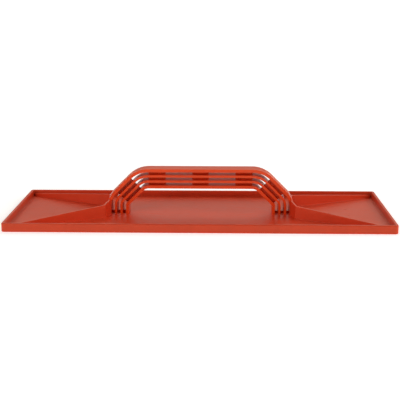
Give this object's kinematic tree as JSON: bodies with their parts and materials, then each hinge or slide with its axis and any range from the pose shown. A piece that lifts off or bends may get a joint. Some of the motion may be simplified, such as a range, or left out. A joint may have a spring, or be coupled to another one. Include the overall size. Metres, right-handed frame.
{
  "type": "mortar hawk",
  "caption": "Long rimmed plastic mortar board with corner ribs and an arched bridge handle of nested bars joined by recessed webs.",
  "frame": {"origin": "middle of the flat working face on the underside of the plate", "axes": "+X along the board, +Y across it, +Z from the working face up to the grip"},
  "size_m": [0.48, 0.18, 0.0626],
  "materials": {
    "plate_plastic": "semi-gloss moulded orange-red ABS",
    "handle_plastic": "semi-gloss moulded orange-red ABS"
  },
  "bodies": {
    "root": {"base_plate": "plate_plastic", "handle": "handle_plastic"}
  },
  "joints": []
}
